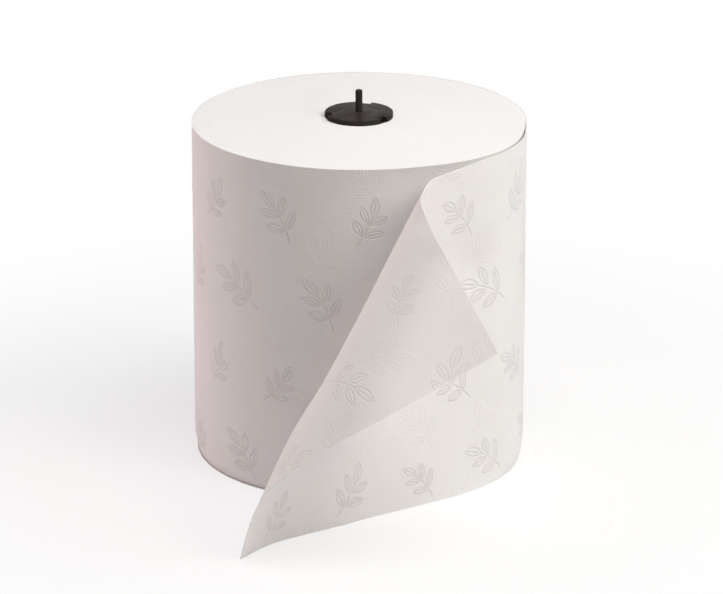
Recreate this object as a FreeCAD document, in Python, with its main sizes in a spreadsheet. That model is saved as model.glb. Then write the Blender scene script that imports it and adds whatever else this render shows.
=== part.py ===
import FreeCAD, Part
import math
import os

import Sketcher

# A hand-towel roll that stands on its end: a wound paper web whose loose end leaves the last
# turn and folds over at its top corner, a card core, and a moulded plug with a central pin.
# Millimetres, +Z up. The origin is on the roll's axis, in the plane that it stands on.

SIZES = (
    ("roll_diameter", 190.5, "across the last turn, where the loose end leaves it"),
    ("web_width", 195.6, "width of the paper web, the roll's height"),
    ("web_thickness", 0.4, "two soft plies"),
    ("core_bore", 37.5, "inner diameter of the card core"),
    ("core_wall", 0.6, "card thickness"),
    ("core_stand_out", 1.9, "how far the core stands out of the web at the plug's end"),
    ("plug_seat_depth", 24.0, "top of the core that the plug was pressed into"),
    ("plug_seat_press", 0.2, "how far the plug presses the card there, radially"),
    ("winding_clearance", 0.05, "radial, between the core and the first turn"),
    ("turn_line_count", 8, "lines between turns on each end face"),
    ("turn_line_width", 0.7, "width of each line"),
    ("turn_line_depth", 0.4, "depth of each line"),
    ("lift_angle", 7.5, "degrees clockwise from +X to where the loose end lifts off"),
    ("leave_angle", 4.0, "degrees between the loose end and the last turn there"),
    ("root_length", 12.0, "straight stretch before the loose end bends"),
    ("loose_length", 239.5, "length of web that hangs free"),
    ("bend_length", 60.0, "stretch that still follows the roll's curl"),
    ("bend_angle", 48.9, "degrees turned along it"),
    ("tail_angle", 5.2, "degrees turned over the rest of it"),
    ("crease_start", 36.2, "where the fold meets the top edge, from the lift-off"),
    ("crease_angle", 56.1, "degrees below the horizontal at which the fold runs down"),
    ("fold_entry_length", 60.7, "gentle curl before the fold"),
    ("fold_entry_radius", 180.0, "radius of that curl"),
    ("fold_length", 64.7, "web in the fold itself"),
    ("fold_radius", 28.1, "radius of the fold"),
    ("flap_radius", 420.0, "radius of the flap beyond the fold"),
    ("flange_overhang", 0.1, "how far the plug's disc reaches past the core, radially"),
    ("flange_thickness", 2.9, "how far the disc stands off the core's end"),
    ("flange_round", 0.5, "round along the disc's rim"),
    ("pin_diameter", 4.0, "central pin"),
    ("pin_height", 12.8, "pin's length above the disc"),
    ("pin_chamfer", 0.55, "at the pin's tip"),
    ("skirt_clearance", 0.3, "radial, between the skirt and its seat in the core"),
    ("skirt_wall", 1.6, "wall of the skirt inside the core"),
    ("skirt_length", 22.0, "depth of the skirt"),
    ("rib_count", 6, "grip ribs on the skirt"),
    ("rib_width", 1.6, "width of each rib"),
    ("rib_clearance", 0.05, "radial, between the ribs and their seat in the core"),
    ("notch_count", 3, "drive notches in the disc's rim"),
    ("notch_width", 5.6, "width of each notch"),
    ("notch_reach", 1.0, "how far each notch reaches in past the skirt's inner face"),
    ("notch_angle", -44.0, "degrees from +X to the first notch"),
    ("gate_mark_diameter", 1.2, "moulding mark on the disc"),
    ("gate_mark_depth", 0.3, "its depth"),
    ("gate_mark_radius", 11.8, "its distance from the axis"),
    ("gate_mark_angle", 65.4, "degrees from the first notch to the mark"),
)

# Grid that the folded loose end's two skins pass through.
LENGTH_STEPS = 26
WIDTH_STEPS = 24
SEW_TOLERANCE = 0.0001
SAME_WAY = 1

DOC = FreeCAD.newDocument("towel_roll")
SHEET = DOC.addObject("Spreadsheet::Sheet", "sizes")


def fill_sheet():
    """Write each driving dimension with its name and meaning."""
    for row, (alias, value, meaning) in enumerate(SIZES, start=1):
        SHEET.set("A%d" % row, alias)
        SHEET.set("B%d" % row, str(value))
        SHEET.set("C%d" % row, meaning)
        SHEET.setAlias("B%d" % row, alias)
    DOC.recompute()


def size(alias):
    """Read one driving dimension back from the sheet."""
    return float(SHEET.get(alias))


def new_body(label):
    """Start a named piece."""
    body = DOC.addObject("PartDesign::Body", label)
    body.Label = label
    return body


def new_sketch(body, name, role):
    """Attach an empty sketch to one of the body's own origin planes."""
    sketch = body.newObject("Sketcher::SketchObject", name)
    plane = [item for item in body.Origin.OriginFeatures if item.Role == role][0]
    sketch.AttachmentSupport = (plane, [""])
    sketch.MapMode = "FlatFace"
    return sketch


def lift_sketch(sketch, expression):
    """Move a sketch up along Z from its origin plane."""
    sketch.setExpression("AttachmentOffset.Base.z", expression)


def tie(sketch, name, kind, refs, value, expression):
    """Add a named dimension and bind it to the sheet."""
    number = sketch.addConstraint(Sketcher.Constraint(kind, *refs, value))
    sketch.renameConstraint(number, name)
    sketch.setExpression("Constraints." + name, expression)


def point(x, y):
    """A point in a sketch's plane."""
    return FreeCAD.Vector(x, y, 0)


def add_circle(sketch, name, radius, expression, centre=(0.0, 0.0)):
    """Draw a circle and bind its radius."""
    circle = Part.Circle(point(*centre), FreeCAD.Vector(0, 0, 1), radius)
    number = sketch.addGeometry(circle, False)
    tie(sketch, name, "Radius", (number,), radius, expression)
    return number


def centre_circle(sketch, number):
    """Put a circle's centre on the sketch's origin."""
    sketch.addConstraint(Sketcher.Constraint("Coincident", number, 3, -1, 1))


def add_polygon(sketch, corners):
    """Draw a closed chain of straight lines through the corners."""
    first = None
    previous = None
    for start, end in zip(corners, corners[1:] + corners[:1]):
        number = sketch.addGeometry(Part.LineSegment(point(*start), point(*end)), False)
        if previous is None:
            first = number
        else:
            sketch.addConstraint(Sketcher.Constraint("Coincident", previous, 2, number, 1))
        previous = number
    sketch.addConstraint(Sketcher.Constraint("Coincident", previous, 2, first, 1))
    return first


def require_change(feature, before, sign):
    """Stop if a feature added or removed nothing."""
    DOC.recompute()
    change = feature.Shape.Volume - before
    if change * sign <= 0:
        raise RuntimeError("%s changed the volume by %.3f" % (feature.Label, change))


def tube(body, inner, outer, length):
    """Pad a plain ring whose radii and length are expressions."""
    sketch = new_sketch(body, body.Label + "_section", "XY_Plane")
    inner_radius, inner_expression = inner
    outer_radius, outer_expression = outer
    centre_circle(sketch, add_circle(sketch, "inner", inner_radius, inner_expression))
    centre_circle(sketch, add_circle(sketch, "outer", outer_radius, outer_expression))
    pad = body.newObject("PartDesign::Pad", body.Label + "_length")
    pad.Profile = sketch
    pad.setExpression("Length", length)
    DOC.recompute()
    return pad


# Expressions and values that several pieces share.
CORE_BORE_RADIUS = "sizes.core_bore / 2"
PLUG_SEAT_RADIUS = "sizes.core_bore / 2 + sizes.plug_seat_press"
CORE_RADIUS = "(sizes.core_bore / 2 + sizes.core_wall)"
CORE_TOP = "(sizes.web_width + sizes.core_stand_out)"
FLANGE_RADIUS = "(sizes.core_bore / 2 + sizes.core_wall + sizes.flange_overhang)"
SKIRT_RADIUS = PLUG_SEAT_RADIUS + " - sizes.skirt_clearance"
HOLLOW_RADIUS = SKIRT_RADIUS + " - sizes.skirt_wall"
WEB_BORE_RADIUS = "(sizes.core_bore / 2 + sizes.core_wall + sizes.winding_clearance)"
ROLL_RADIUS = "(sizes.roll_diameter / 2)"
TURN_STEP = "(sizes.web_thickness / cos(sizes.leave_angle * 1 deg))"


def core_bore_radius():
    return size("core_bore") / 2


def plug_seat_radius():
    return core_bore_radius() + size("plug_seat_press")


def core_radius():
    return core_bore_radius() + size("core_wall")


def core_top():
    return size("web_width") + size("core_stand_out")


def web_bore_radius():
    return core_radius() + size("winding_clearance")


def flange_radius():
    return core_radius() + size("flange_overhang")


def skirt_radius():
    return plug_seat_radius() - size("skirt_clearance")


def hollow_radius():
    """Inside of the plug's skirt."""
    return skirt_radius() - size("skirt_wall")


def turn_step():
    """Radial step where the last turn ends: the web's thickness, cut on the slant."""
    return size("web_thickness") / math.cos(math.radians(size("leave_angle")))


def make_core():
    """Card tube in the middle of the roll, pressed a little wider where the plug sits."""
    body = new_body("core_tube")
    inner = (core_bore_radius(), CORE_BORE_RADIUS)
    outer = (core_radius(), CORE_RADIUS)
    wall = tube(body, inner, outer, CORE_TOP)
    sketch = new_sketch(body, "plug_seat_outline", "XY_Plane")
    lift_sketch(sketch, CORE_TOP)
    centre_circle(sketch, add_circle(sketch, "seat", plug_seat_radius(), PLUG_SEAT_RADIUS))
    before = wall.Shape.Volume
    seat = body.newObject("PartDesign::Pocket", "plug_seat")
    seat.Profile = sketch
    seat.setExpression("Length", "sizes.plug_seat_depth")
    require_change(seat, before, -1)
    return body


def draw_end_outline(sketch):
    """Draw the roll's end: its bore, the last turn as a two-centre spiral, and the root strip.

    The step of the last turn lies along the sketch's +X axis. The upper half circle starts
    at the full radius and the lower one comes back a web's thickness further in.
    """
    centre_circle(sketch, add_circle(sketch, "bore", web_bore_radius(), WEB_BORE_RADIUS))

    radius = size("roll_diameter") / 2
    step = turn_step()
    up = FreeCAD.Vector(0, 0, 1)
    upper_circle = Part.Circle(point(step / 4, 0), up, radius - step / 4)
    lower_circle = Part.Circle(point(-step / 4, 0), up, radius - 3 * step / 4)
    upper = sketch.addGeometry(Part.ArcOfCircle(upper_circle, 0, math.pi), False)
    lower = sketch.addGeometry(Part.ArcOfCircle(lower_circle, math.pi, 2 * math.pi), False)
    for arc in (upper, lower):
        sketch.addConstraint(Sketcher.Constraint("PointOnObject", arc, 3, -1))
        sketch.addConstraint(Sketcher.Constraint("PointOnObject", arc, 2, -1))
    sketch.addConstraint(Sketcher.Constraint("PointOnObject", upper, 1, -1))
    sketch.addConstraint(Sketcher.Constraint("Coincident", upper, 2, lower, 1))
    tie(sketch, "last_turn", "DistanceX", (-1, 1, upper, 1), radius, ROLL_RADIUS)
    tie(sketch, "turn_centre", "DistanceX", (-1, 1, upper, 3), step / 4, TURN_STEP + " / 4")
    under = radius - step
    tie(sketch, "turn_below", "DistanceX", (-1, 1, lower, 2), under, ROLL_RADIUS + " - " + TURN_STEP)

    slant = math.radians(size("leave_angle"))
    root = size("root_length")
    away = (math.sin(slant), -math.cos(slant))
    outer_end = (radius + root * away[0], root * away[1])
    thickness = size("web_thickness")
    inner_end = (outer_end[0] + thickness * away[1], outer_end[1] - thickness * away[0])
    outer_line = sketch.addGeometry(Part.LineSegment(point(radius, 0), point(*outer_end)), False)
    end_line = sketch.addGeometry(Part.LineSegment(point(*outer_end), point(*inner_end)), False)
    inner_line = sketch.addGeometry(Part.LineSegment(point(*inner_end), point(under, 0)), False)
    for first, second in ((outer_line, end_line), (end_line, inner_line)):
        sketch.addConstraint(Sketcher.Constraint("Coincident", first, 2, second, 1))
        sketch.addConstraint(Sketcher.Constraint("Perpendicular", first, second))
    sketch.addConstraint(Sketcher.Constraint("Coincident", upper, 1, outer_line, 1))
    sketch.addConstraint(Sketcher.Constraint("Coincident", inner_line, 2, lower, 2))
    tie(sketch, "root_strip", "Distance", (outer_line,), root, "sizes.root_length")
    lean = "sizes.root_length * sin(sizes.leave_angle * 1 deg)"
    tie(sketch, "root_lean", "DistanceX", (outer_line, 1, outer_line, 2), root * away[0], lean)


def draw_turn_lines(sketch):
    """Draw a shallow V between bands of turns, on both end faces."""
    count = int(size("turn_line_count"))
    half = size("turn_line_width") / 2
    depth = size("turn_line_depth")
    inner = web_bore_radius()
    pitch = (size("roll_diameter") / 2 - inner) / (count + 1)
    pitch_expression = "(%s - %s) / (sizes.turn_line_count + 1)" % (ROLL_RADIUS, WEB_BORE_RADIUS)
    ends = (
        ("top", size("web_width"), -depth, "sizes.web_width", "sizes.web_width - sizes.turn_line_depth"),
        ("foot", 0.0, depth, None, "sizes.turn_line_depth"),
    )
    for number in range(1, count + 1):
        middle = inner + number * pitch
        middle_expression = "%s + %d * %s" % (WEB_BORE_RADIUS, number, pitch_expression)
        for end, face, inward, face_expression, floor_expression in ends:
            corners = [(middle - half, face), (middle + half, face), (middle, face + inward)]
            side = add_polygon(sketch, corners)
            name = "%s_%d_" % (end, number)
            places = (
                ("inner", side, middle - half, middle_expression + " - sizes.turn_line_width / 2"),
                ("outer", side + 1, middle + half, middle_expression + " + sizes.turn_line_width / 2"),
                ("floor", side + 2, middle, middle_expression),
            )
            for part, line, place, expression in places:
                tie(sketch, name + part, "DistanceX", (-1, 1, line, 1), place, expression)
            sketch.addConstraint(Sketcher.Constraint("Horizontal", side))
            if face_expression is None:
                sketch.addConstraint(Sketcher.Constraint("PointOnObject", side, 1, -1))
            else:
                tie(sketch, name + "face", "DistanceY", (-1, 1, side, 1), face, face_expression)
            floor = face + inward
            tie(sketch, name + "depth", "DistanceY", (-1, 1, side + 2, 1), floor, floor_expression)


def make_wound_turns():
    """The wound part of the web, with the first straight stretch of its loose end."""
    body = new_body("wound_turns")
    outline = new_sketch(body, "end_outline", "XY_Plane")
    draw_end_outline(outline)
    turns = body.newObject("PartDesign::Pad", "turns")
    turns.Profile = outline
    turns.setExpression("Length", "sizes.web_width")
    DOC.recompute()
    lines = new_sketch(body, "turn_lines", "XZ_Plane")
    draw_turn_lines(lines)
    before = turns.Shape.Volume
    groove = body.newObject("PartDesign::Groove", "turn_grooves")
    groove.Profile = lines
    groove.ReferenceAxis = (lines, ["V_Axis"])
    groove.Angle = 360
    require_change(groove, before, -1)
    turn = FreeCAD.Rotation(FreeCAD.Vector(0, 0, 1), -size("lift_angle"))
    body.Placement = FreeCAD.Placement(FreeCAD.Vector(0, 0, 0), turn)
    return body


def along(distance, arcs):
    """Go a distance along tangent arcs, each a length and a turning rate.

    The path starts at the origin along +X. Before its start it runs straight.
    """
    if distance <= 0:
        return distance, 0.0, 0.0
    x = 0.0
    y = 0.0
    heading = 0.0
    for length, rate in arcs:
        stretch = min(distance, length)
        turned = heading + rate * stretch
        if rate:
            x += (math.sin(turned) - math.sin(heading)) / rate
            y += (math.cos(heading) - math.cos(turned)) / rate
        else:
            x += stretch * math.cos(heading)
            y += stretch * math.sin(heading)
        heading = turned
        distance -= stretch
        if distance <= 0:
            break
    return x, y, heading


class LooseEnd:
    """The free stretch of web, as a flat sheet that is curled and then folded.

    In the flat sheet, length runs away from the lift-off and height runs up. The fold's
    rulings run down from the top edge at the crease angle, and everything beyond the crease
    is rolled outwards about them. The sheet's foot then follows a bent path on the floor.
    """

    def __init__(self):
        self.width = size("web_width")
        self.thickness = size("web_thickness")
        self.crease = math.radians(size("crease_angle"))
        self.crease_start = size("crease_start")
        self.section = (
            (size("fold_entry_length"), 1 / size("fold_entry_radius")),
            (size("fold_length"), 1 / size("fold_radius")),
            (math.inf, 1 / size("flap_radius")),
        )
        straight = size("root_length")
        bend = size("bend_length")
        tail = size("loose_length") - straight - bend
        self.path = (
            (straight, 0.0),
            (bend, math.radians(size("bend_angle")) / bend),
            (math.inf, math.radians(size("tail_angle")) / tail),
        )
        lift = math.radians(size("lift_angle"))
        radius = size("roll_diameter") / 2
        half = self.thickness / 2
        self.heading = -math.pi / 2 - lift + math.radians(size("leave_angle"))
        start_x = radius * math.cos(lift) + half * math.sin(self.heading)
        start_y = -radius * math.sin(lift) - half * math.cos(self.heading)
        self.start = (start_x, start_y)

    def foot(self, length):
        """Plan position and heading of the sheet's foot."""
        forward, aside, turned = along(length, self.path)
        ahead = (math.cos(self.heading), math.sin(self.heading))
        x = self.start[0] + forward * ahead[0] + aside * ahead[1]
        y = self.start[1] + forward * ahead[1] - aside * ahead[0]
        return x, y, self.heading - turned

    def skin_point(self, length, height, side):
        """A point on a skin: side is +1 outside, -1 towards the roll."""
        down = (math.cos(self.crease), -math.sin(self.crease))
        across = (math.sin(self.crease), math.cos(self.crease))
        from_start = length - self.crease_start
        from_top = height - self.width
        run = from_start * down[0] + from_top * down[1]
        beyond = from_start * across[0] + from_top * across[1]
        forward, out, turned = along(beyond, self.section)
        offset = side * self.thickness / 2
        forward -= offset * math.sin(turned)
        out += offset * math.cos(turned)
        new_length = self.crease_start + run * down[0] + forward * across[0]
        new_height = self.width + run * down[1] + forward * across[1]
        x, y, heading = self.foot(new_length)
        outward = (-math.sin(heading), math.cos(heading))
        if height == 0:
            new_height = 0.0
        return FreeCAD.Vector(x + out * outward[0], y + out * outward[1], new_height)

    def skin(self, side):
        """Smooth surface through one skin's points."""
        first = size("root_length")
        last = size("loose_length")
        rows = []
        for i in range(LENGTH_STEPS + 1):
            length = first + (last - first) * i / LENGTH_STEPS
            heights = [self.width * j / WIDTH_STEPS for j in range(WIDTH_STEPS + 1)]
            rows.append([self.skin_point(length, height, side) for height in heights])
        surface = Part.BSplineSurface()
        surface.interpolate(rows)
        return surface

    def solid(self):
        """Close the two skins with ruled edges."""
        outside = self.skin(1)
        inside = self.skin(-1)
        faces = [outside.toShape(), inside.toShape()]
        first_u, last_u, first_v, last_v = outside.bounds()
        for value in (first_u, last_u):
            edges = [surface.uIso(value).toShape() for surface in (outside, inside)]
            faces.append(Part.makeRuledSurface(*edges, SAME_WAY))
        for value in (first_v, last_v):
            edges = [surface.vIso(value).toShape() for surface in (outside, inside)]
            faces.append(Part.makeRuledSurface(*edges, SAME_WAY))
        skins = Part.Compound(faces)
        skins.sewShape(SEW_TOLERANCE)
        solid = Part.Solid(skins.Shells[0])
        if solid.Volume < 0:
            solid.reverse()
        return solid


def make_web():
    """The paper web: its wound turns and its loose end, one solid."""
    wound = make_wound_turns()
    loose = DOC.addObject("Part::Feature", "loose_end")
    loose.Shape = LooseEnd().solid()
    web = DOC.addObject("Part::MultiFuse", "paper_web")
    web.Shapes = [wound, loose]
    web.Label = "paper_web"
    DOC.recompute()
    return web


def draw_plug_section(sketch):
    """Draw half of the plug: pin, disc with a round rim, and hollow skirt.

    The arc along the rim starts at the corner on the disc's face.
    """
    top = core_top()
    face = top + size("flange_thickness")
    tip = face + size("pin_height")
    foot = top - size("skirt_length")
    flange = flange_radius()
    pin = size("pin_diameter") / 2
    chamfer = size("pin_chamfer")
    rounding = size("flange_round")
    skirt = skirt_radius()
    inside = hollow_radius()

    top_text = CORE_TOP
    face_text = CORE_TOP + " + sizes.flange_thickness"
    tip_text = face_text + " + sizes.pin_height"
    foot_text = CORE_TOP + " - sizes.skirt_length"
    pin_text = "sizes.pin_diameter / 2"
    corners = (
        (0.0, tip, None, tip_text),
        (pin - chamfer, tip, pin_text + " - sizes.pin_chamfer", tip_text),
        (pin, tip - chamfer, pin_text, tip_text + " - sizes.pin_chamfer"),
        (pin, face, pin_text, face_text),
        (flange - rounding, face, FLANGE_RADIUS + " - sizes.flange_round", face_text),
        (flange, face - rounding, FLANGE_RADIUS, face_text + " - sizes.flange_round"),
        (flange, top, FLANGE_RADIUS, top_text),
        (skirt, top, SKIRT_RADIUS, top_text),
        (skirt, foot, SKIRT_RADIUS, foot_text),
        (inside, foot, HOLLOW_RADIUS, foot_text),
        (inside, top, HOLLOW_RADIUS, top_text),
        (0.0, top, None, top_text),
    )
    rim = (flange - rounding, face)
    numbers = []
    arc = None
    for i, start in enumerate(corners):
        end = corners[(i + 1) % len(corners)]
        if start[:2] == rim:
            circle = Part.Circle(point(start[0], end[1]), FreeCAD.Vector(0, 0, 1), rounding)
            arc = sketch.addGeometry(Part.ArcOfCircle(circle, 0, math.pi / 2), False)
            numbers.append(arc)
        else:
            line = Part.LineSegment(point(start[0], start[1]), point(end[0], end[1]))
            numbers.append(sketch.addGeometry(line, False))
    for i, number in enumerate(numbers):
        following = numbers[(i + 1) % len(numbers)]
        finish = 1 if number == arc else 2
        begin = 2 if following == arc else 1
        sketch.addConstraint(Sketcher.Constraint("Coincident", number, finish, following, begin))
    for i, (x, z, x_text, z_text) in enumerate(corners):
        vertex = (numbers[i], 2 if numbers[i] == arc else 1)
        if x_text is None:
            sketch.addConstraint(Sketcher.Constraint("PointOnObject", *vertex, -2))
        else:
            tie(sketch, "across_%d" % i, "DistanceX", (-1, 1) + vertex, x, x_text)
        tie(sketch, "height_%d" % i, "DistanceY", (-1, 1) + vertex, z, z_text)
    tie(sketch, "rim_round", "Radius", (arc,), rounding, "sizes.flange_round")


def add_box_outline(sketch, low_x, high_x, half_width, low_text, high_text, half_text):
    """Draw a rectangle across the sketch's X axis."""
    corners = [(low_x, -half_width), (high_x, -half_width), (high_x, half_width), (low_x, half_width)]
    foot = add_polygon(sketch, corners)
    for line in (foot, foot + 2):
        sketch.addConstraint(Sketcher.Constraint("Horizontal", line))
    for line in (foot + 1, foot + 3):
        sketch.addConstraint(Sketcher.Constraint("Vertical", line))
    tie(sketch, "near", "DistanceX", (-1, 1, foot, 1), low_x, low_text)
    tie(sketch, "far", "DistanceX", (-1, 1, foot, 2), high_x, high_text)
    tie(sketch, "right", "DistanceY", (foot, 1, -1, 1), half_width, half_text)
    tie(sketch, "left", "DistanceY", (-1, 1, foot + 2, 1), half_width, half_text)


def repeat_round(body, feature, name, count_alias):
    """Copy a feature evenly round the axis."""
    pattern = body.newObject("PartDesign::PolarPattern", name)
    pattern.Originals = [feature]
    axis = [item for item in body.Origin.OriginFeatures if item.Role == "Z_Axis"][0]
    pattern.Axis = (axis, [""])
    pattern.Angle = 360
    pattern.setExpression("Occurrences", "sizes." + count_alias)
    body.Tip = pattern
    DOC.recompute()
    return pattern


def make_plug():
    """Moulded plug in the top of the core, which the roll is driven and carried by."""
    body = new_body("end_plug")
    section = new_sketch(body, "plug_section", "XZ_Plane")
    draw_plug_section(section)
    turned = body.newObject("PartDesign::Revolution", "plug_turned")
    turned.Profile = section
    turned.ReferenceAxis = (section, ["V_Axis"])
    turned.Angle = 360
    DOC.recompute()

    rib_inner = skirt_radius() - size("skirt_wall") / 2
    rib_outer = plug_seat_radius() - size("rib_clearance")
    skirt_middle = SKIRT_RADIUS + " - sizes.skirt_wall / 2"
    rib_face = PLUG_SEAT_RADIUS + " - sizes.rib_clearance"
    rib_sketch = new_sketch(body, "rib_outline", "XY_Plane")
    lift_sketch(rib_sketch, CORE_TOP + " - sizes.skirt_length")
    half = size("rib_width") / 2
    rib_lines = (rib_inner, rib_outer, half, skirt_middle, rib_face, "sizes.rib_width / 2")
    add_box_outline(rib_sketch, *rib_lines)
    before = turned.Shape.Volume
    rib = body.newObject("PartDesign::Pad", "grip_rib")
    rib.Profile = rib_sketch
    rib.setExpression("Length", "sizes.skirt_length")
    require_change(rib, before, 1)
    ribs = repeat_round(body, rib, "grip_ribs", "rib_count")

    notch_floor = hollow_radius() - size("notch_reach")
    past_rim = flange_radius() + size("notch_reach")
    notch_sketch = new_sketch(body, "notch_outline", "XY_Plane")
    lift_sketch(notch_sketch, CORE_TOP + " + sizes.flange_thickness")
    half = size("notch_width") / 2
    floor_text = HOLLOW_RADIUS + " - sizes.notch_reach"
    past_text = FLANGE_RADIUS + " + sizes.notch_reach"
    add_box_outline(notch_sketch, notch_floor, past_rim, half, floor_text, past_text, "sizes.notch_width / 2")
    before = ribs.Shape.Volume
    notch = body.newObject("PartDesign::Pocket", "drive_notch")
    notch.Profile = notch_sketch
    notch.setExpression("Length", "sizes.flange_thickness")
    require_change(notch, before, -1)
    notches = repeat_round(body, notch, "drive_notches", "notch_count")

    mark_sketch = new_sketch(body, "gate_mark_outline", "XY_Plane")
    lift_sketch(mark_sketch, CORE_TOP + " + sizes.flange_thickness")
    reach = size("gate_mark_radius")
    turn = math.radians(size("gate_mark_angle"))
    centre = (reach * math.cos(turn), reach * math.sin(turn))
    radius = size("gate_mark_diameter") / 2
    circle = add_circle(mark_sketch, "mark", radius, "sizes.gate_mark_diameter / 2", centre)
    across = "sizes.gate_mark_radius * cos(sizes.gate_mark_angle * 1 deg)"
    aside = "sizes.gate_mark_radius * sin(sizes.gate_mark_angle * 1 deg)"
    tie(mark_sketch, "across", "DistanceX", (-1, 1, circle, 3), centre[0], across)
    tie(mark_sketch, "aside", "DistanceY", (-1, 1, circle, 3), centre[1], aside)
    before = notches.Shape.Volume
    mark = body.newObject("PartDesign::Pocket", "gate_mark")
    mark.Profile = mark_sketch
    mark.setExpression("Length", "sizes.gate_mark_depth")
    require_change(mark, before, -1)

    turn = FreeCAD.Rotation(FreeCAD.Vector(0, 0, 1), size("notch_angle"))
    body.Placement = FreeCAD.Placement(FreeCAD.Vector(0, 0, 0), turn)
    return body


def check(pieces):
    """Stop if any object failed or any piece has no sound shape."""
    DOC.recompute()
    for item in DOC.Objects:
        if "Invalid" in item.State or "Error" in item.State:
            raise RuntimeError(item.Name + " failed")
    for piece in pieces:
        shape = piece.Shape
        if shape.isNull() or not shape.isValid() or len(shape.Solids) != 1:
            raise RuntimeError(piece.Label + " has no single sound solid")


def write(pieces):
    """Write one file for each piece."""
    os.makedirs("parts", exist_ok=True)
    for piece in pieces:
        shape = piece.Shape
        shape.exportStep("parts/%s.step" % piece.Label)
        box = shape.BoundBox
        corners = (box.XMin, box.YMin, box.ZMin, box.XMax, box.YMax, box.ZMax)
        print(piece.Label, "%.1f mm3" % shape.Volume, " ".join("%.2f" % value for value in corners))


fill_sheet()
PIECES = (make_web(), make_core(), make_plug())
check(PIECES)
write(PIECES)
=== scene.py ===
import math
import random

import bmesh
import bpy
from mathutils import Matrix, Vector, noise


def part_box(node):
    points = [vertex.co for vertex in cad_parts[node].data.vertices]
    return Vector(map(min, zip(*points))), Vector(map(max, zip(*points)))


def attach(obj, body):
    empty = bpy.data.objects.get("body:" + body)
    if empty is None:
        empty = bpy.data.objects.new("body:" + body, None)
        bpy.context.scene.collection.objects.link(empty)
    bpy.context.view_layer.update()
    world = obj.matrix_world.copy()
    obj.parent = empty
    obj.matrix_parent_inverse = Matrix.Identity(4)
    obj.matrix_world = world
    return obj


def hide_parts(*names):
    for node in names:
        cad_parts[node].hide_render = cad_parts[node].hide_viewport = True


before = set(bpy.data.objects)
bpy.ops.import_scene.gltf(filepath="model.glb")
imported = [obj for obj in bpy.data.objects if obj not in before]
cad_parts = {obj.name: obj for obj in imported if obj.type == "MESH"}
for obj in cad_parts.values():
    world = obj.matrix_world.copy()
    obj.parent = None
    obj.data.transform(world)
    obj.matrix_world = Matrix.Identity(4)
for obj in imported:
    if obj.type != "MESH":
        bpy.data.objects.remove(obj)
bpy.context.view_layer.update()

# A hand-towel roll that stands on its end, with the plug in its core and its loose end folded
# out at the top corner. Metres, +Z up, the origin on the roll's axis in the plane of its foot.

CORE_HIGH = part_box("core_tube")[1]

# The roll
WEB_WIDTH = 0.1956
ROLL_RADIUS = 0.09525
CORE_RADIUS = CORE_HIGH.x
WINDING_CLEARANCE = 0.00005
PAPER_THICKNESS = 0.0004
TURN_STEP = 0.0005
TURN_RADIUS = ROLL_RADIUS - PAPER_THICKNESS / 2

# The turns under the loose end have slackened: how far they stand out, and angles in radians
SLACK_HEIGHT = 0.0045
SLACK_START = 0.02
SLACK_PEAK = 0.60
SLACK_END = 1.30

# The loose end's foot, seen from above: where it leaves the roll, its root, bend and tail
LIFT_ANGLE = math.radians(7.5)
LEAVE_ANGLE = math.radians(4.0)
LEAVE_AT = LEAVE_ANGLE - LIFT_ANGLE
LEAVE_PLACE = -ROLL_RADIUS * math.tan(LEAVE_ANGLE)
ROOT_LENGTH = 0.012
LOOSE_LENGTH = 0.2395
BEND_LENGTH = 0.060
BEND_TURN = math.radians(48.9)
TAIL_TURN = math.radians(5.2)
TAIL_LENGTH = LOOSE_LENGTH - ROOT_LENGTH - BEND_LENGTH

# The foot's path as tangent arcs: a length and a turning rate, which is one over the radius
FOOT_PATH = (
    (ROOT_LENGTH - LEAVE_PLACE, 0.0),
    (BEND_LENGTH, BEND_TURN / BEND_LENGTH),
    (math.inf, TAIL_TURN / TAIL_LENGTH),
)

# The fold: where it starts on the top edge, and the slope of its rulings
CREASE_START = 0.0362
CREASE_ANGLE = math.radians(56.1)
CREASE_CORNER = Vector((CREASE_START, WEB_WIDTH))
CREASE_DOWN = Vector((math.cos(CREASE_ANGLE), -math.sin(CREASE_ANGLE)))
CREASE_ACROSS = Vector((math.sin(CREASE_ANGLE), math.cos(CREASE_ANGLE)))

# Its section square to the rulings, as arcs: the sheet before the fold, the fold and the flap
FOLD_SECTION = ((0.0607, 1 / 0.180), (0.0647, 1 / 0.0281), (math.inf, 1 / 0.420))

# The flat sheet: the last turn and the loose end
SHEET_START = LEAVE_PLACE - 2 * math.pi * TURN_RADIUS
SHEET_LENGTH = LOOSE_LENGTH - SHEET_START
SHEET_STEPS = (320, 72)

# Soft lumps in the paper: their size, and how far they stand out on the roll and off it
LUMP_LENGTH = 0.055
LUMP_HEIGHT = 0.070
WOUND_LUMPS = 0.00012
LOOSE_LUMPS = 0.0009
LOOSE_LUMP_SHIFT = Vector((3.1, 7.7, 0.5))

# The stretch of the loose end over which it comes to hang free
FREE_STRETCH = (0.02, 0.10)

# Ripples along the loose end's foot, waves down its cut end and a frill on its top edge
RIPPLE_DEPTH = 0.0011
RIPPLE_LENGTH = 0.0125
RIPPLE_DRIFT = 1.3
RIPPLE_DRIFT_LENGTH = 0.041
RIPPLE_REACH = 0.05
WAVE_DEPTH = 0.0010
WAVE_LENGTH = 0.013
WAVE_START = 0.7
WAVE_REACH = 0.03
FRILL_DEPTH = 0.0005
FRILL_LENGTH = 0.006
FRILL_DRIFT = 1.7
FRILL_DRIFT_LENGTH = 0.023
FRILL_REACH = 0.012

# A thumb's soft hollow in the loose end's outer face: its flat place, size and depth
HOLLOW_PLACE = (0.080, 0.134)
HOLLOW_REACH = 0.016
HOLLOW_DEPTH = 0.0019

# The roll's lower edge is worn in a little, up to where the sheet hangs free
FOOT_EASE = 0.0026
FOOT_EASE_HEIGHT = 0.013
FOOT_EASE_END = (0.035, 0.095)

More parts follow.
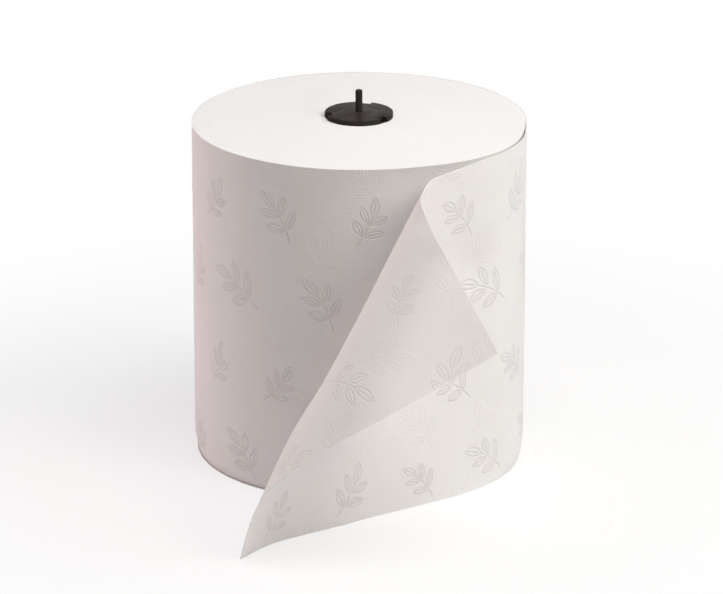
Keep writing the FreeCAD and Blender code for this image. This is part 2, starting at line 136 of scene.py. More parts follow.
# The sheet's foot swings back a little before it comes forward to its tail
SWING_DEPTH = 0.0038
SWING_START = 0.162
SWING_TURN = 0.205
SWING_HEIGHT = 0.110

# The turns next to the core stand out with it at the plug's end
RISE_HEIGHT = CORE_HIGH.z - WEB_WIDTH - WINDING_CLEARANCE
RISE_REACH = 0.050

# The end faces: the lines between turns, how far they sink in, and soft lumps
END_LINES = 110
LINE_SINK = 0.00002
LINE_SINK_SPREAD = 0.00006
LINE_SEED = 7
END_LUMP_SIZE = 0.03
END_LUMP_DEPTH = 0.00004

# How the meshes are stepped round the axis, merged, smoothed and eased
ROUND_STEPS = 192
MERGE_DISTANCE = 1e-6
SMOOTH_ANGLE = math.radians(35.0)
PLUG_FLAT_ANGLE = math.radians(1.0)
PLUG_EDGE_ANGLE = math.radians(40.0)
PLUG_EDGE_EASE = 0.0003

MM_PER_METRE = 1000

# One sprig, in millimetres, its leaflets as centre, angle, half length and half width
STEM_BEND = 0.010
STEM_MIDDLE = -5.0
STEM_HALF_LENGTH = 11.0
LEAFLET_PAIRS = (
    ((5.6, -5.0), math.radians(-52), 6.0, 2.3),
    ((5.2, 4.6), math.radians(-42), 5.6, 2.2),
)
TIP_LEAFLET = ((0.0, 12.0), 0.0, 6.2, 2.6)
VEIN_SHARE = 0.62

# The field of sprigs: cells in metres, leans in radians, strays and line edges in millimetres
SPRIG_COLUMN = 0.050
SPRIG_ROW = 0.049
SPRIG_LEAN = 0.35
SPRIG_LEAN_SPREAD = 0.8
SPRIG_STRAY = 7.0
SPRIG_SIZE = 0.80
SPRIG_SIZE_SPREAD = 0.35
PRESSED_LINE = (0.18, 0.72)

# The middle part of a noise texture's values
NOISE_MIDDLE = (0.3, 0.7)

# The paper's finish and its painted shade: pitches in metres, bump heights in millimetres, shades from 0
# to 1
RIB_PITCH = 0.00118
RIB_DRIFT = 2.6
RIB_HEIGHT = (0.034, 0.052)
KNUCKLE_PITCH = 0.0017
KNUCKLE_SHARE = 0.3
FIBRE_HEIGHT = 0.16
SPRIG_DEPTH = 0.30
OTHER_PLY_DEPTH = 0.07
INNER_SPRIG_SHARE = 0.55
# The sprig lines are darkened partly for the pressed paper's own darker tone and partly as painted shade
# in their grooves
SPRIG_TONE_AND_PAINTED_SHADE = 0.36
OTHER_PLY_SHADE = 0.08
# Painted shade: the inner skin, which shows on the folded flap, is darkened as if it lay in shade
INNER_SKIN_PAINTED_SHADE = 0.25
PAPER_COLOURS = ((0.860, 0.842, 0.832, 1), (0.890, 0.875, 0.866, 1))
# The colour that the pressed lines, the other ply's lines and the painted shade darken towards
PAPER_SHADE_COLOUR = (0.70, 0.66, 0.65, 1)
PAPER_GLOW_RADIUS = (1.0, 0.98, 0.97)

# Each ply's field of sprigs: its shift and its seed
OWN_PLY = ((0.013, 0.006, 0.0), 2.0)
OTHER_PLY = ((0.036, 0.029, 0.0), 5.0)

# The end faces' finish
EDGE_LINE_PITCH = 0.0006
EDGE_LINE_WANDER = 2.5
EDGE_LINE_HEIGHT = 0.03
EDGE_BANDS_PER_METRE = 420.0
EDGE_BAND_TURN = 0.8
EDGE_BAND_HEIGHT = 0.16
EDGE_FIBRE_HEIGHT = 0.10
EDGE_COLOURS = ((0.880, 0.866, 0.858, 1), (0.910, 0.900, 0.893, 1))

# The core's card
SEAM_CLIMB = 0.085
SEAM_HALF_WIDTH = 0.012
SEAM_DEPTH = 0.25
SEAM_SHADE = 0.6
SEAM_COLOUR = (0.22, 0.17, 0.13, 1)
CARD_COLOURS = ((0.36, 0.29, 0.22, 1), (0.52, 0.44, 0.35, 1))
CARD_FIBRE_HEIGHT = 0.08
CARD_FIBRE_STRETCH = (1.0, 1.0, 2.5)
CARD_SPECK_SHARE = 0.35
CARD_SPECK_COLOUR = (0.60, 0.53, 0.44, 1)

# The plug's plastic
PLUG_COLOURS = ((0.034, 0.028, 0.025, 1), (0.040, 0.033, 0.030, 1))
PLUG_ROUGHNESS = (0.24, 0.30)
PLUG_GRAIN_HEIGHT = 0.012
PLUG_FLOW_HEIGHT = 0.01
PLUG_FLOW_STRETCH = (1.0, 1.0, 3.0)

# The floor, which turns plain white away from the roll, and the light from all round
FLOOR_REACH = 8.0
FLOOR_COLOUR = (0.92, 0.915, 0.91, 1)
FLOOR_WHITE_SHARE = 0.65
FLOOR_FADE = (0.15, 0.45)
AROUND_COLOUR = (1.0, 0.9, 0.88, 1)
AROUND_STRENGTH = 0.02

# Softboxes: name, place and size in metres, power in watts, and colour
SOFTBOXES = (
    ("overhead", (0.25, -0.45, 1.70), 0.9, 15.4, (1.0, 1.0, 1.0)),
    ("key_high_right", (1.20, -0.40, 1.25), 0.9, 8.0, (0.86, 0.93, 1.0)),
    ("key_front_right", (0.95, -0.75, 1.20), 0.6, 7.0, (1.0, 0.86, 0.72)),
    ("right", (1.50, 0.05, 0.90), 0.9, 2.2, (1.0, 1.0, 1.0)),
    ("left", (-1.50, 0.45, 0.15), 0.9, 15.8, (1.0, 0.79, 0.79)),
    ("high_back_left", (-0.50, 0.30, 1.60), 0.9, 2.3, (1.0, 1.0, 1.0)),
)

# The camera, fitted to the two ends of the roll
IMAGE_WIDTH = 723
IMAGE_HEIGHT = 594
FOCAL_PIXELS = 4700.8
SENSOR_WIDTH = 36.0
CAMERA_DISTANCE = 2.7
CAMERA_ELEVATION = 0.33087
CAMERA_REACH = 50.0
CENTRE_PIXEL = (358.92, 282.34)


def along(distance, arcs):
    """Place and heading at a distance along tangent arcs, each a length and a turning rate."""
    if distance <= 0:
        return distance, 0.0, 0.0
    x = 0.0
    y = 0.0
    heading = 0.0
    for length, rate in arcs:
        stretch = min(distance, length)
        turned = heading + rate * stretch
        if rate:
            x += (math.sin(turned) - math.sin(heading)) / rate
            y += (math.cos(heading) - math.cos(turned)) / rate
        else:
            x += stretch * math.cos(heading)
            y += stretch * math.sin(heading)
        heading = turned
        distance -= stretch
        if distance <= 0:
            break
    return x, y, heading


def ramp(value, low, high):
    """Smooth step from 0 at low to 1 at high."""
    share = min(max((value - low) / (high - low), 0.0), 1.0)
    return share * share * (3 - 2 * share)


def turn_radius(angle):
    """Radius of the last turn's middle, at an angle back from where the loose end leaves."""
    under = 2 * math.pi - angle
    slack = SLACK_HEIGHT * ramp(under, SLACK_START, SLACK_PEAK)
    slack *= 1 - ramp(under, SLACK_PEAK, SLACK_END)
    return TURN_RADIUS - TURN_STEP * angle / (2 * math.pi) + slack


def foot(length):
    """Plan position and heading of the sheet's foot, on the roll or beyond it."""
    if length < LEAVE_PLACE:
        back = (LEAVE_PLACE - length) / TURN_RADIUS
        angle = LEAVE_AT + back
        radius = turn_radius(back)
        return radius * math.cos(angle), radius * math.sin(angle), angle - math.pi / 2
    forward, aside, turned = along(length - LEAVE_PLACE, FOOT_PATH)
    heading = LEAVE_AT - math.pi / 2
    ahead = Vector((math.cos(heading), math.sin(heading)))
    x = TURN_RADIUS * math.cos(LEAVE_AT) + forward * ahead.x + aside * ahead.y
    y = TURN_RADIUS * math.sin(LEAVE_AT) + forward * ahead.y - aside * ahead.x
    return x, y, heading - turned


def foot_ease(height):
    """How far the worn lower edge lies in from the turn above it."""
    share = max(1 - height / FOOT_EASE_HEIGHT, 0.0)
    return FOOT_EASE * share * share


def loose_waves(length, height, lump_place):
    """How far slack, ripples, waves and frill stand out where the sheet hangs free."""
    slack = LOOSE_LUMPS * noise.noise(lump_place + LOOSE_LUMP_SHIFT)
    near_foot = ramp(RIPPLE_REACH - height, 0.0, RIPPLE_REACH)
    drift = RIPPLE_DRIFT * math.sin(length / RIPPLE_DRIFT_LENGTH)
    ripple = RIPPLE_DEPTH * near_foot * math.sin(length / RIPPLE_LENGTH + drift)
    near_end = ramp(length, LOOSE_LENGTH - WAVE_REACH, LOOSE_LENGTH)
    wave = WAVE_DEPTH * near_end * math.sin(height / WAVE_LENGTH + WAVE_START)
    near_top = ramp(height, WEB_WIDTH - FRILL_REACH, WEB_WIDTH)
    drift = FRILL_DRIFT * math.sin(length / FRILL_DRIFT_LENGTH)
    frill = FRILL_DEPTH * near_top * math.sin(length / FRILL_LENGTH + drift)
    return slack + ripple + wave + frill


def unevenness(length, height):
    """How far the soft paper stands out from its ideal surface."""
    lump_place = Vector((length / LUMP_LENGTH, height / LUMP_HEIGHT, 0.0))
    on_roll = WOUND_LUMPS * noise.noise(lump_place)
    free = ramp(length, *FREE_STRETCH)
    away = math.hypot(length - HOLLOW_PLACE[0], height - HOLLOW_PLACE[1]) / HOLLOW_REACH
    hollow = HOLLOW_DEPTH * math.exp(-away * away)
    swing = SWING_DEPTH * ramp(length, SWING_START, SWING_TURN)
    swing *= 1 - ramp(length, SWING_TURN, LOOSE_LENGTH)
    swing *= 1 - ramp(height, SWING_HEIGHT / 2, SWING_HEIGHT)
    ease = foot_ease(height) * (1 - ramp(length, *FOOT_EASE_END))
    return on_roll + free * loose_waves(length, height, lump_place) - hollow - swing - ease


def sheet_point(length, height, offset):
    """Where a point of the flat sheet lies; a positive offset is outside."""
    offset += unevenness(length, height)
    from_corner = Vector((length - CREASE_START, height - WEB_WIDTH))
    forward, out, turned = along(from_corner.dot(CREASE_ACROSS), FOLD_SECTION)
    forward -= offset * math.sin(turned)
    out += offset * math.cos(turned)
    unrolled = CREASE_CORNER + from_corner.dot(CREASE_DOWN) * CREASE_DOWN + forward * CREASE_ACROSS
    x, y, heading = foot(unrolled.x)
    # The foot's edge stands on the floor
    z = unrolled.y if height > 0 else 0.0
    return Vector((x - out * math.sin(heading), y + out * math.cos(heading), z))


def new_piece(name, bm, material):
    """Turn a finished bmesh into an object with sharp edges where its faces meet steeply."""
    for edge in bm.edges:
        if len(edge.link_faces) == 2:
            edge.smooth = edge.calc_face_angle(0.0) < SMOOTH_ANGLE
    for face in bm.faces:
        face.smooth = True
    mesh = bpy.data.meshes.new(name)
    bm.to_mesh(mesh)
    bm.free()
    piece = bpy.data.objects.new(name, mesh)
    bpy.context.scene.collection.objects.link(piece)
    mesh.materials.append(material)
    return piece


def make_paper_sheet(material):
    """The last turn and the loose end, one sheet, with its flat places as UV in metres."""
    bm = bmesh.new()
    bmesh.ops.create_grid(bm, x_segments=SHEET_STEPS[0], y_segments=SHEET_STEPS[1], size=0.5)
    stretch = Matrix.Diagonal((SHEET_LENGTH, WEB_WIDTH, 1.0))
    bmesh.ops.transform(bm, matrix=stretch.to_4x4(), verts=bm.verts)
    bmesh.ops.solidify(bm, geom=bm.faces[:], thickness=PAPER_THICKNESS)
    middle = sum(v.co.z for v in bm.verts) / len(bm.verts)
    uv_layer = bm.loops.layers.uv.new("flat_place")
    outer_layer = bm.verts.layers.float.new("outer_skin")
    flat_centre = Vector((SHEET_START + SHEET_LENGTH / 2, WEB_WIDTH / 2, -middle))
    bmesh.ops.translate(bm, vec=flat_centre, verts=bm.verts)
    for face in bm.faces:
        for loop in face.loops:
            loop[uv_layer].uv = loop.vert.co.xy
    for vertex in bm.verts:
        vertex[outer_layer] = 1.0 if vertex.co.z > 0 else 0.0
        vertex.co = sheet_point(*vertex.co)
    bmesh.ops.recalc_face_normals(bm, faces=bm.faces[:])
    return new_piece("paper_sheet", bm, material)


def end_face_lines():
    """Radius, sinking and rise of the end face's lines, from the bore outwards."""
    chance = random.Random(LINE_SEED)
    inner = CORE_RADIUS + WINDING_CLEARANCE
    outer = TURN_RADIUS - TURN_STEP - PAPER_THICKNESS
    lines = []
    for i in range(END_LINES + 1):
        radius = inner + (outer - inner) * i / END_LINES
        sunk = LINE_SINK + LINE_SINK_SPREAD * chance.random()
        rise = RISE_HEIGHT * ramp(inner + RISE_REACH - radius, 0.0, RISE_REACH)
        lines.append((radius, sunk, rise))
    return lines


def fit_under_last_turn(vertex):
    """Move a vertex of the wound turns' rim to just inside the last turn."""
    angle = math.atan2(vertex.co.y, vertex.co.x) - LEAVE_AT
    inside = turn_radius(angle % (2 * math.pi)) - PAPER_THICKNESS / 2 - WINDING_CLEARANCE
    share = (inside - foot_ease(vertex.co.z)) / vertex.co.xy.length
    vertex.co.x *= share
    vertex.co.y *= share


def make_wound_turns(material):
    """The turns under the last one, spun round the axis from half of their section."""
    lines = end_face_lines()
    rim = lines[-1][0]
    top = [(radius, WEB_WIDTH + rise - sunk) for radius, sunk, rise in lines]
    bottom = [(radius, sunk) for radius, sunk, rise in reversed(lines)]
    section = top + [(rim, FOOT_EASE_HEIGHT)] + bottom
    bm = bmesh.new()
    ring = [bm.verts.new((radius, 0.0, height)) for radius, height in section]
    for first, second in zip(ring, ring[1:] + ring[:1]):
        bm.edges.new((first, second))
    bmesh.ops.spin(bm, geom=bm.verts[:] + bm.edges[:], cent=(0, 0, 0), axis=(0, 0, 1),
                   angle=2 * math.pi, steps=ROUND_STEPS, use_merge=True, use_duplicate=False)
    bmesh.ops.remove_doubles(bm, verts=bm.verts[:], dist=MERGE_DISTANCE)
    bmesh.ops.recalc_face_normals(bm, faces=bm.faces[:])
    for vertex in bm.verts:
        if vertex.co.xy.length > rim - MERGE_DISTANCE:
            fit_under_last_turn(vertex)
        lump_place = Vector((vertex.co.x / END_LUMP_SIZE, vertex.co.y / END_LUMP_SIZE, vertex.co.z))
        inward = 1.0 if vertex.co.z < WEB_WIDTH / 2 else -1.0
        vertex.co.z += inward * END_LUMP_DEPTH * (noise.noise(lump_place) + 1)
    return new_piece("wound_turns", bm, material)


def make_plug_copy(material):
    """The plug with its moulded edges eased."""
    bm = bmesh.new()
    bm.from_mesh(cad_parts["end_plug"].data)
    bmesh.ops.remove_doubles(bm, verts=bm.verts[:], dist=MERGE_DISTANCE)
    bmesh.ops.dissolve_limit(bm, angle_limit=PLUG_FLAT_ANGLE, verts=bm.verts[:], edges=bm.edges[:])
    sharp = [edge for edge in bm.edges if edge.calc_face_angle(0.0) > PLUG_EDGE_ANGLE]
    bmesh.ops.bevel(bm, geom=sharp, offset=PLUG_EDGE_EASE, offset_type="OFFSET", segments=3,
                    profile=0.5, affect="EDGES", material=-1, clamp_overlap=True)
    return new_piece("core_plug", bm, material)


class Nodes:
    """Short ways to add shader nodes and join them."""

    def __init__(self, tree):
        self.tree = tree

    def add(self, kind, **settings):
        node = self.tree.nodes.new(kind)
        for name, value in settings.items():
            setattr(node, name, value)
        return node

    def put(self, socket, value):
        """Join an output to a socket, or set the socket to a constant."""
        if isinstance(value, bpy.types.NodeSocket):
            self.tree.links.new(value, socket)
        else:
            socket.default_value = value

    def place(self):
        """Object coordinates, which are metres in the roll's own frame."""
        return self.add("ShaderNodeTexCoord").outputs["Object"]

    def math(self, operation, first, second=None):
        node = self.add("ShaderNodeMath", operation=operation)
        self.put(node.inputs[0], first)
        if second is not None:
            self.put(node.inputs[1], second)
        return node.outputs[0]

    def vector(self, operation, first, second=None):
        node = self.add("ShaderNodeVectorMath", operation=operation)
        self.put(node.inputs[0], first)
        if second is not None:
            self.put(node.inputs[1], second)
        return node.outputs["Value" if operation == "LENGTH" else "Vector"]

    def split(self, vector):
        node = self.add("ShaderNodeSeparateXYZ")
        self.put(node.inputs[0], vector)
        return node.outputs

    def join(self, x, y, z=0.0):
        node = self.add("ShaderNodeCombineXYZ")
        for socket, value in zip(node.inputs, (x, y, z)):
            self.put(socket, value)
        return node.outputs[0]

    def turn(self, vector, angle):
        node = self.add("ShaderNodeVectorRotate", rotation_type="Z_AXIS")
        self.put(node.inputs["Vector"], vector)
        self.put(node.inputs["Angle"], angle)
        return node.outputs[0]

    def fade(self, value, low, high, start=0.0, end=1.0):
        """Smooth step from start at low to end at high."""
        node = self.add("ShaderNodeMapRange", interpolation_type="SMOOTHSTEP")
        for name, item in (("Value", value), ("From Min", low), ("From Max", high)):
            self.put(node.inputs[name], item)
        self.put(node.inputs["To Min"], start)
        self.put(node.inputs["To Max"], end)
        return node.outputs[0]

    def noise(self, vector, scale, detail=2.0, roughness=0.5):
        node = self.add("ShaderNodeTexNoise")
        self.put(node.inputs["Vector"], vector)
        self.put(node.inputs["Scale"], scale)
        self.put(node.inputs["Detail"], detail)
        self.put(node.inputs["Roughness"], roughness)
        return node.outputs["Fac"]

    def mix(self, factor, first, second):
        """Blend of two colours: the first at 0, the second at 1."""
        node = self.add("ShaderNodeMix", data_type="RGBA")
        # The node has sockets for numbers and vectors too; these are its colour sockets
        self.put(node.inputs[0], factor)
        self.put(node.inputs[6], first)
        self.put(node.inputs[7], second)
        return node.outputs[2]

    def mix_shaders(self, factor, first, second):
        """Blend of two shaders: the first at 0, the second at 1."""
        node = self.add("ShaderNodeMixShader")
        for socket, value in zip(node.inputs, (factor, first, second)):
            self.put(socket, value)
        return node.outputs[0]


def new_group(name, inputs, outputs):
    """Start a node group with its sockets, each a label and a kind."""
    tree = bpy.data.node_groups.new(name, "ShaderNodeTree")
    for label, kind in inputs:
        tree.interface.new_socket(label, in_out="INPUT", socket_type=kind)
    for label, kind in outputs:
        tree.interface.new_socket(label, in_out="OUTPUT", socket_type=kind)
    n = Nodes(tree)
    return tree, n, n.add("NodeGroupInput"), n.add("NodeGroupOutput")


def leaflet(n, across, up, centre, angle, half_length, half_width):
    """Distance in mm to a leaflet's outline, two arcs that meet at its tips, or its mid-vein."""
    moved = n.vector("SUBTRACT", n.join(across, up), (*centre, 0.0))
    x, y, _ = n.split(n.turn(moved, -angle))
    away = n.math("ABSOLUTE", x)
    shift = (half_length ** 2 - half_width ** 2) / (2 * half_width)
    radius = (half_length ** 2 + half_width ** 2) / (2 * half_width)
    reach = n.vector("LENGTH", n.join(n.math("ADD", away, shift), y))
    outline = n.math("ABSOLUTE", n.math("SUBTRACT", reach, radius))
    beyond = n.math("SUBTRACT", n.math("ABSOLUTE", y), VEIN_SHARE * half_length)
    return n.math("MINIMUM", outline, n.math("MAXIMUM", away, beyond))


def make_sprig_group():
    """One embossed sprig: a bent stem, two pairs of leaflets and one at its tip, in mm."""
    inputs = [("Place", "NodeSocketVector")]
    tree, n, given, result = new_group("sprig", inputs, [("Distance", "NodeSocketFloat")])
    x, y, _ = n.split(given.outputs[0])
    bent = n.math("SUBTRACT", x, n.math("MULTIPLY", n.math("MULTIPLY", y, y), STEM_BEND))
    away = n.math("ABSOLUTE", bent)
    from_middle = n.math("ABSOLUTE", n.math("SUBTRACT", y, STEM_MIDDLE))
    distance = n.math("MAXIMUM", away, n.math("SUBTRACT", from_middle, STEM_HALF_LENGTH))
    for pair in LEAFLET_PAIRS:
        distance = n.math("MINIMUM", distance, leaflet(n, away, y, *pair))
    distance = n.math("MINIMUM", distance, leaflet(n, bent, y, *TIP_LEAFLET))
    n.put(result.inputs[0], distance)
    return tree


def make_sprig_field_group(sprig):
    """Sprigs spread over the flat sheet in a staggered field; the result is 1 on a line."""
    inputs = [("Flat place", "NodeSocketVector"), ("Shift", "NodeSocketVector"),
              ("Seed", "NodeSocketFloat")]
    tree, n, given, result = new_group("sprig_field", inputs, [("Line", "NodeSocketFloat")])
    place = n.vector("ADD", given.outputs["Flat place"], given.outputs["Shift"])
    u, v, _ = n.split(place)
    rows = n.math("DIVIDE", v, SPRIG_ROW)
    row_number = n.math("FLOOR", rows)
    stagger = n.math("MULTIPLY", n.math("PINGPONG", row_number, 1.0), 0.5)
    columns = n.math("ADD", n.math("DIVIDE", u, SPRIG_COLUMN), stagger)
    column_number = n.math("FLOOR", columns)

    def from_cell_middle(cells, number, cell_size):
        within = n.math("SUBTRACT", n.math("SUBTRACT", cells, number), 0.5)
        return n.math("MULTIPLY", within, cell_size * MM_PER_METRE)

    def stray(share):
        return n.math("MULTIPLY", n.math("SUBTRACT", share, 0.5), SPRIG_STRAY)

    x = from_cell_middle(columns, column_number, SPRIG_COLUMN)
    y = from_cell_middle(rows, row_number, SPRIG_ROW)
    chance = n.add("ShaderNodeTexWhiteNoise", noise_dimensions="3D")
    n.put(chance.inputs["Vector"], n.join(column_number, row_number, given.outputs["Seed"]))
    first, second, third = n.split(chance.outputs["Color"])
    side = n.math("SIGN", n.math("SUBTRACT", first, 0.5))
    lean = n.math("ADD", n.math("MULTIPLY", second, SPRIG_LEAN_SPREAD), SPRIG_LEAN)
    shifted = n.vector("SUBTRACT", n.join(x, y), n.join(stray(second), stray(third)))
    turned = n.turn(shifted, n.math("MULTIPLY", side, lean))
    size = n.math("ADD", n.math("MULTIPLY", third, SPRIG_SIZE_SPREAD), SPRIG_SIZE)
    node = n.add("ShaderNodeGroup", node_tree=sprig)
    n.put(node.inputs[0], n.vector("DIVIDE", turned, n.join(size, size, 1.0)))
    n.put(result.inputs[0], n.fade(node.outputs[0], *PRESSED_LINE, start=1.0, end=0.0))
    return tree


def new_material(name):
    """A material with its node helper and principled shader."""
    material = bpy.data.materials.new(name)
    material.use_nodes = True
    n = Nodes(material.node_tree)
    return material, n, material.node_tree.nodes["Principled BSDF"]


def bump(n, shader, height, strength=1.0):
    """Raise the surface by a height in millimetres."""
    node = n.add("ShaderNodeBump")
    n.put(node.inputs["Height"], height)
    n.put(node.inputs["Distance"], 1 / MM_PER_METRE)
    n.put(node.inputs["Strength"], strength)
    n.put(shader.inputs["Normal"], node.outputs[0])


def make_towel_paper():
    """Soft white tissue: fine ribs along the web, fibre, and pressed sprigs, with painted shade in the
    sprigs' grooves and on the inner skin.
    """
    material, n, shader = new_material("embossed_towel_paper")
    sprig_field = make_sprig_field_group(make_sprig_group())
    flat = n.add("ShaderNodeUVMap", uv_map="flat_place").outputs[0]
    outer = n.add("ShaderNodeAttribute", attribute_name="outer_skin").outputs["Fac"]

    def field(shift, seed):
        node = n.add("ShaderNodeGroup", node_tree=sprig_field)
        n.put(node.inputs["Flat place"], flat)
        n.put(node.inputs["Shift"], shift)
        n.put(node.inputs["Seed"], seed)
        return node.outputs[0]

    depth = n.fade(outer, 0.0, 1.0, start=INNER_SPRIG_SHARE, end=1.0)
    pressed = n.math("MULTIPLY", field(*OWN_PLY), depth)
    other_ply = field(*OTHER_PLY)
    u, v, _ = n.split(flat)
    drift = n.math("MULTIPLY", n.noise(flat, scale=120.0), RIB_DRIFT)
    rib = n.math("SINE", n.math("ADD", n.math("MULTIPLY", v, 2 * math.pi / RIB_PITCH), drift))
    # The knuckles shift by half a step from one rib to the next
    knuckle = n.math("SINE", n.math("ADD", n.math("MULTIPLY", u, 2 * math.pi / KNUCKLE_PITCH),
                                    n.math("MULTIPLY", v, math.pi / RIB_PITCH)))
    knuckle = n.math("ADD", n.math("MULTIPLY", knuckle, KNUCKLE_SHARE), 1 - KNUCKLE_SHARE)
    weave = n.math("MULTIPLY", rib, knuckle)
    fibre = n.noise(flat, scale=1500.0, detail=3.0, roughness=0.6)
    cloud = n.noise(flat, scale=30.0, detail=3.0)
    height = n.math("MULTIPLY", weave, n.fade(cloud, *NOISE_MIDDLE, *RIB_HEIGHT))
    height = n.math("ADD", height, n.math("MULTIPLY", fibre, FIBRE_HEIGHT))
    height = n.math("SUBTRACT", height, n.math("MULTIPLY", pressed, SPRIG_DEPTH))
    height = n.math("SUBTRACT", height, n.math("MULTIPLY", other_ply, OTHER_PLY_DEPTH))
    bump(n, shader, height)
    # Darkening of the colour: the pressed lines' own tone with painted shade in their grooves, the other
    # ply's lines, and painted shade on the inner skin
    shade = n.math("ADD", n.math("MULTIPLY", pressed, SPRIG_TONE_AND_PAINTED_SHADE),
                   n.math("MULTIPLY", other_ply, OTHER_PLY_SHADE))
    # Painted shade on the inner skin, which shows on the folded flap
    shade = n.math("ADD", shade, n.fade(outer, 0.0, 1.0, start=INNER_SKIN_PAINTED_SHADE, end=0.0))
    n.put(shader.inputs["Base Color"], n.mix(shade, n.mix(cloud, *PAPER_COLOURS), PAPER_SHADE_COLOUR))
    shader.inputs["Roughness"].default_value = 0.92
    shader.inputs["Specular IOR Level"].default_value = 0.15
    shader.inputs["Subsurface Weight"].default_value = 0.45
    shader.inputs["Subsurface Radius"].default_value = PAPER_GLOW_RADIUS
    shader.inputs["Subsurface Scale"].default_value = 0.0007
    return material


def make_cut_edge_paper():
    """The wound web seen on its edge: more than a hundred fine turns round the axis."""
    material, n, shader = new_material("wound_paper_edge")
    place = n.place()
    x, y, z = n.split(place)
    radius = n.vector("LENGTH", n.join(x, y))
    angle = n.math("ARCTAN2", y, x)
    wander = n.math("MULTIPLY", n.noise(place, scale=45.0), EDGE_LINE_WANDER)
    turns = n.math("ADD", n.math("DIVIDE", radius, EDGE_LINE_PITCH), n.math("DIVIDE", angle, 2 * math.pi))
    line = n.math("SINE", n.math("MULTIPLY", n.math("ADD", turns, wander), 2 * math.pi))
    band_place = n.join(n.math("MULTIPLY", radius, EDGE_BANDS_PER_METRE),
                        n.math("MULTIPLY", angle, EDGE_BAND_TURN), z)
    band = n.noise(band_place, scale=1.0, detail=3.0, roughness=0.65)
    fibre = n.noise(place, scale=1800.0, detail=3.0, roughness=0.6)
    height = n.math("ADD", n.math("MULTIPLY", line, EDGE_LINE_HEIGHT),
                    n.math("MULTIPLY", band, EDGE_BAND_HEIGHT))
    height = n.math("ADD", height, n.math("MULTIPLY", fibre, EDGE_FIBRE_HEIGHT))
    bump(n, shader, height, strength=0.8)
    n.put(shader.inputs["Base Color"], n.mix(band, *EDGE_COLOURS))
    shader.inputs["Roughness"].default_value = 0.95
    shader.inputs["Specular IOR Level"].default_value = 0.12
    return material


def make_core_card():
    """Grey-brown wound card with its spiral seam."""
    material, n, shader = new_material("wound_core_card")
    place = n.place()
    x, y, z = n.split(place)
    angle = n.math("ARCTAN2", y, x)
    climb = n.math("ADD", n.math("DIVIDE", z, SEAM_CLIMB), n.math("DIVIDE", angle, 2 * math.pi))
    from_seam = n.math("ABSOLUTE", n.math("SUBTRACT", n.math("FRACT", climb), 0.5))
    seam = n.fade(from_seam, 0.0, SEAM_HALF_WIDTH, start=1.0, end=0.0)
    fibre_place = n.vector("MULTIPLY", place, CARD_FIBRE_STRETCH)
    fibre = n.noise(fibre_place, scale=700.0, detail=4.0, roughness=0.6)
    speck = n.math("MULTIPLY", n.noise(place, scale=260.0), CARD_SPECK_SHARE)
    card = n.mix(speck, n.mix(fibre, *CARD_COLOURS), CARD_SPECK_COLOUR)
    card = n.mix(n.math("MULTIPLY", seam, SEAM_SHADE), card, SEAM_COLOUR)
    n.put(shader.inputs["Base Color"], card)
    height = n.math("SUBTRACT", n.math("MULTIPLY", fibre, CARD_FIBRE_HEIGHT),
                    n.math("MULTIPLY", seam, SEAM_DEPTH))
    bump(n, shader, height)
    shader.inputs["Roughness"].default_value = 0.85
    shader.inputs["Specular IOR Level"].default_value = 0.25
    return material


def make_plug_plastic():
    """Dark moulded plastic with a faint grain and flow marks."""
    material, n, shader = new_material("dark_moulded_plastic")
    place = n.place()
    flow_place = n.vector("MULTIPLY", place, PLUG_FLOW_STRETCH)
    flow = n.noise(flow_place, scale=160.0, detail=3.0, roughness=0.55)
    grain = n.noise(place, scale=2600.0)
    n.put(shader.inputs["Base Color"], n.mix(flow, *PLUG_COLOURS))
    n.put(shader.inputs["Roughness"], n.fade(flow, *NOISE_MIDDLE, *PLUG_ROUGHNESS))
    height = n.math("ADD", n.math("MULTIPLY", grain, PLUG_GRAIN_HEIGHT),
                    n.math("MULTIPLY", flow, PLUG_FLOW_HEIGHT))
    bump(n, shader, height, strength=0.6)
    shader.inputs["Specular IOR Level"].default_value = 0.01
    return material


def seen_directly(n):
    """1 for rays from the camera, off gloss and through clear things."""
    path = n.add("ShaderNodeLightPath")
    gloss = n.math("MAXIMUM", path.outputs["Is Glossy Ray"], path.outputs["Is Transmission Ray"])
    return n.math("MAXIMUM", path.outputs["Is Camera Ray"], gloss)


def make_floor():
    """A plain white floor that keeps the roll's soft shadow close to it."""
    bm = bmesh.new()
    bmesh.ops.create_grid(bm, x_segments=1, y_segments=1, size=FLOOR_REACH)
    material = bpy.data.materials.new("white_floor")
    material.use_nodes = True
    n = Nodes(material.node_tree)
    material.node_tree.nodes.clear()
    plain = n.add("ShaderNodeBsdfDiffuse")
    plain.inputs["Color"].default_value = FLOOR_COLOUR
    white = n.add("ShaderNodeEmission")
    x, y, _ = n.split(n.place())
    away = n.vector("LENGTH", n.join(x, y))
    share = n.fade(away, *FLOOR_FADE, start=FLOOR_WHITE_SHARE, end=1.0)
    seen = n.math("MULTIPLY", seen_directly(n), share)
    mixed = n.mix_shaders(seen, plain.outputs[0], white.outputs[0])
    n.put(n.add("ShaderNodeOutputMaterial").inputs[0], mixed)
    floor = new_piece("floor", bm, material)


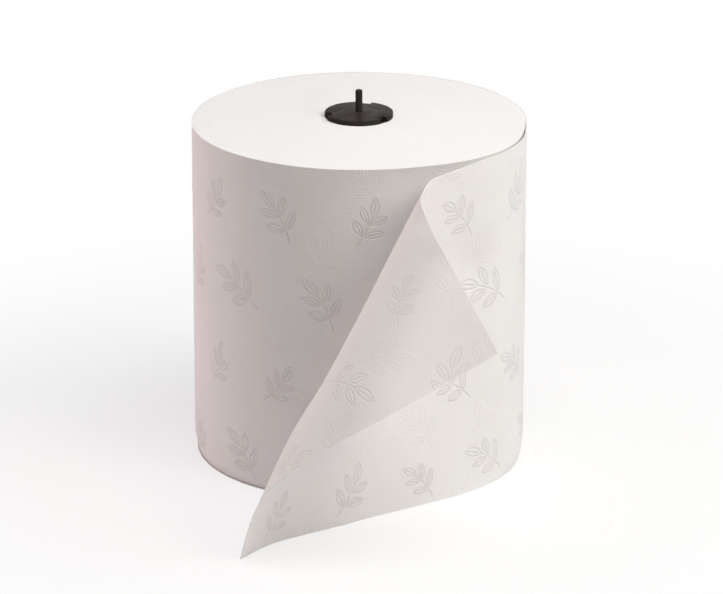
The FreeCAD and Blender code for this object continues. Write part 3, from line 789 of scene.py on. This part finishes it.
def make_world():
    """Faint even light from all round, which the camera sees as white."""
    world = bpy.data.worlds.new("studio")
    bpy.context.scene.world = world
    world.use_nodes = True
    n = Nodes(world.node_tree)
    world.node_tree.nodes.clear()
    around = n.add("ShaderNodeBackground")
    around.inputs["Color"].default_value = AROUND_COLOUR
    around.inputs["Strength"].default_value = AROUND_STRENGTH
    white = n.add("ShaderNodeBackground")
    white.inputs["Color"].default_value = (1, 1, 1, 1)
    mixed = n.mix_shaders(seen_directly(n), around.outputs[0], white.outputs[0])
    n.put(n.add("ShaderNodeOutputWorld").inputs[0], mixed)


def make_lights():
    """Large soft lights: from above, from the right, and from low on the left."""
    middle = Vector((0, 0, WEB_WIDTH / 2))
    for name, place, size, power, colour in SOFTBOXES:
        data = bpy.data.lights.new(name, "AREA")
        data.size = size
        data.energy = power
        data.color = colour
        lamp = bpy.data.objects.new(name, data)
        bpy.context.scene.collection.objects.link(lamp)
        lamp.location = place
        lamp.rotation_euler = (middle - lamp.location).to_track_quat("-Z", "Y").to_euler()


def make_camera():
    """The photograph's view: straight on, from a little above."""
    data = bpy.data.cameras.new("camera")
    data.sensor_width = SENSOR_WIDTH
    data.lens = FOCAL_PIXELS * SENSOR_WIDTH / IMAGE_WIDTH
    data.shift_x = (IMAGE_WIDTH / 2 - CENTRE_PIXEL[0]) / IMAGE_WIDTH
    data.shift_y = (CENTRE_PIXEL[1] - IMAGE_HEIGHT / 2) / IMAGE_WIDTH
    data.clip_end = CAMERA_REACH
    camera = bpy.data.objects.new("camera", data)
    bpy.context.scene.collection.objects.link(camera)
    back = CAMERA_DISTANCE * math.cos(CAMERA_ELEVATION)
    up = CAMERA_DISTANCE * math.sin(CAMERA_ELEVATION)
    camera.location = (0, -back, WEB_WIDTH / 2 + up)
    camera.rotation_euler = (math.pi / 2 - CAMERA_ELEVATION, 0, 0)
    bpy.context.scene.camera = camera


bpy.context.scene.view_settings.view_transform = "Standard"
make_camera()
make_world()
make_lights()
make_floor()

towel_paper = make_towel_paper()
paper_sheet = make_paper_sheet(towel_paper)
wound_turns = make_wound_turns(make_cut_edge_paper())
core_plug = make_plug_copy(make_plug_plastic())
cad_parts["core_tube"].data.materials.clear()
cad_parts["core_tube"].data.materials.append(make_core_card())

for piece, slot in ((paper_sheet, "paper"), (wound_turns, "paper"), (core_plug, "plug_plastic")):
    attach(piece, "root")
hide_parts("paper_web")
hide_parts("paper_web")
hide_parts("end_plug")
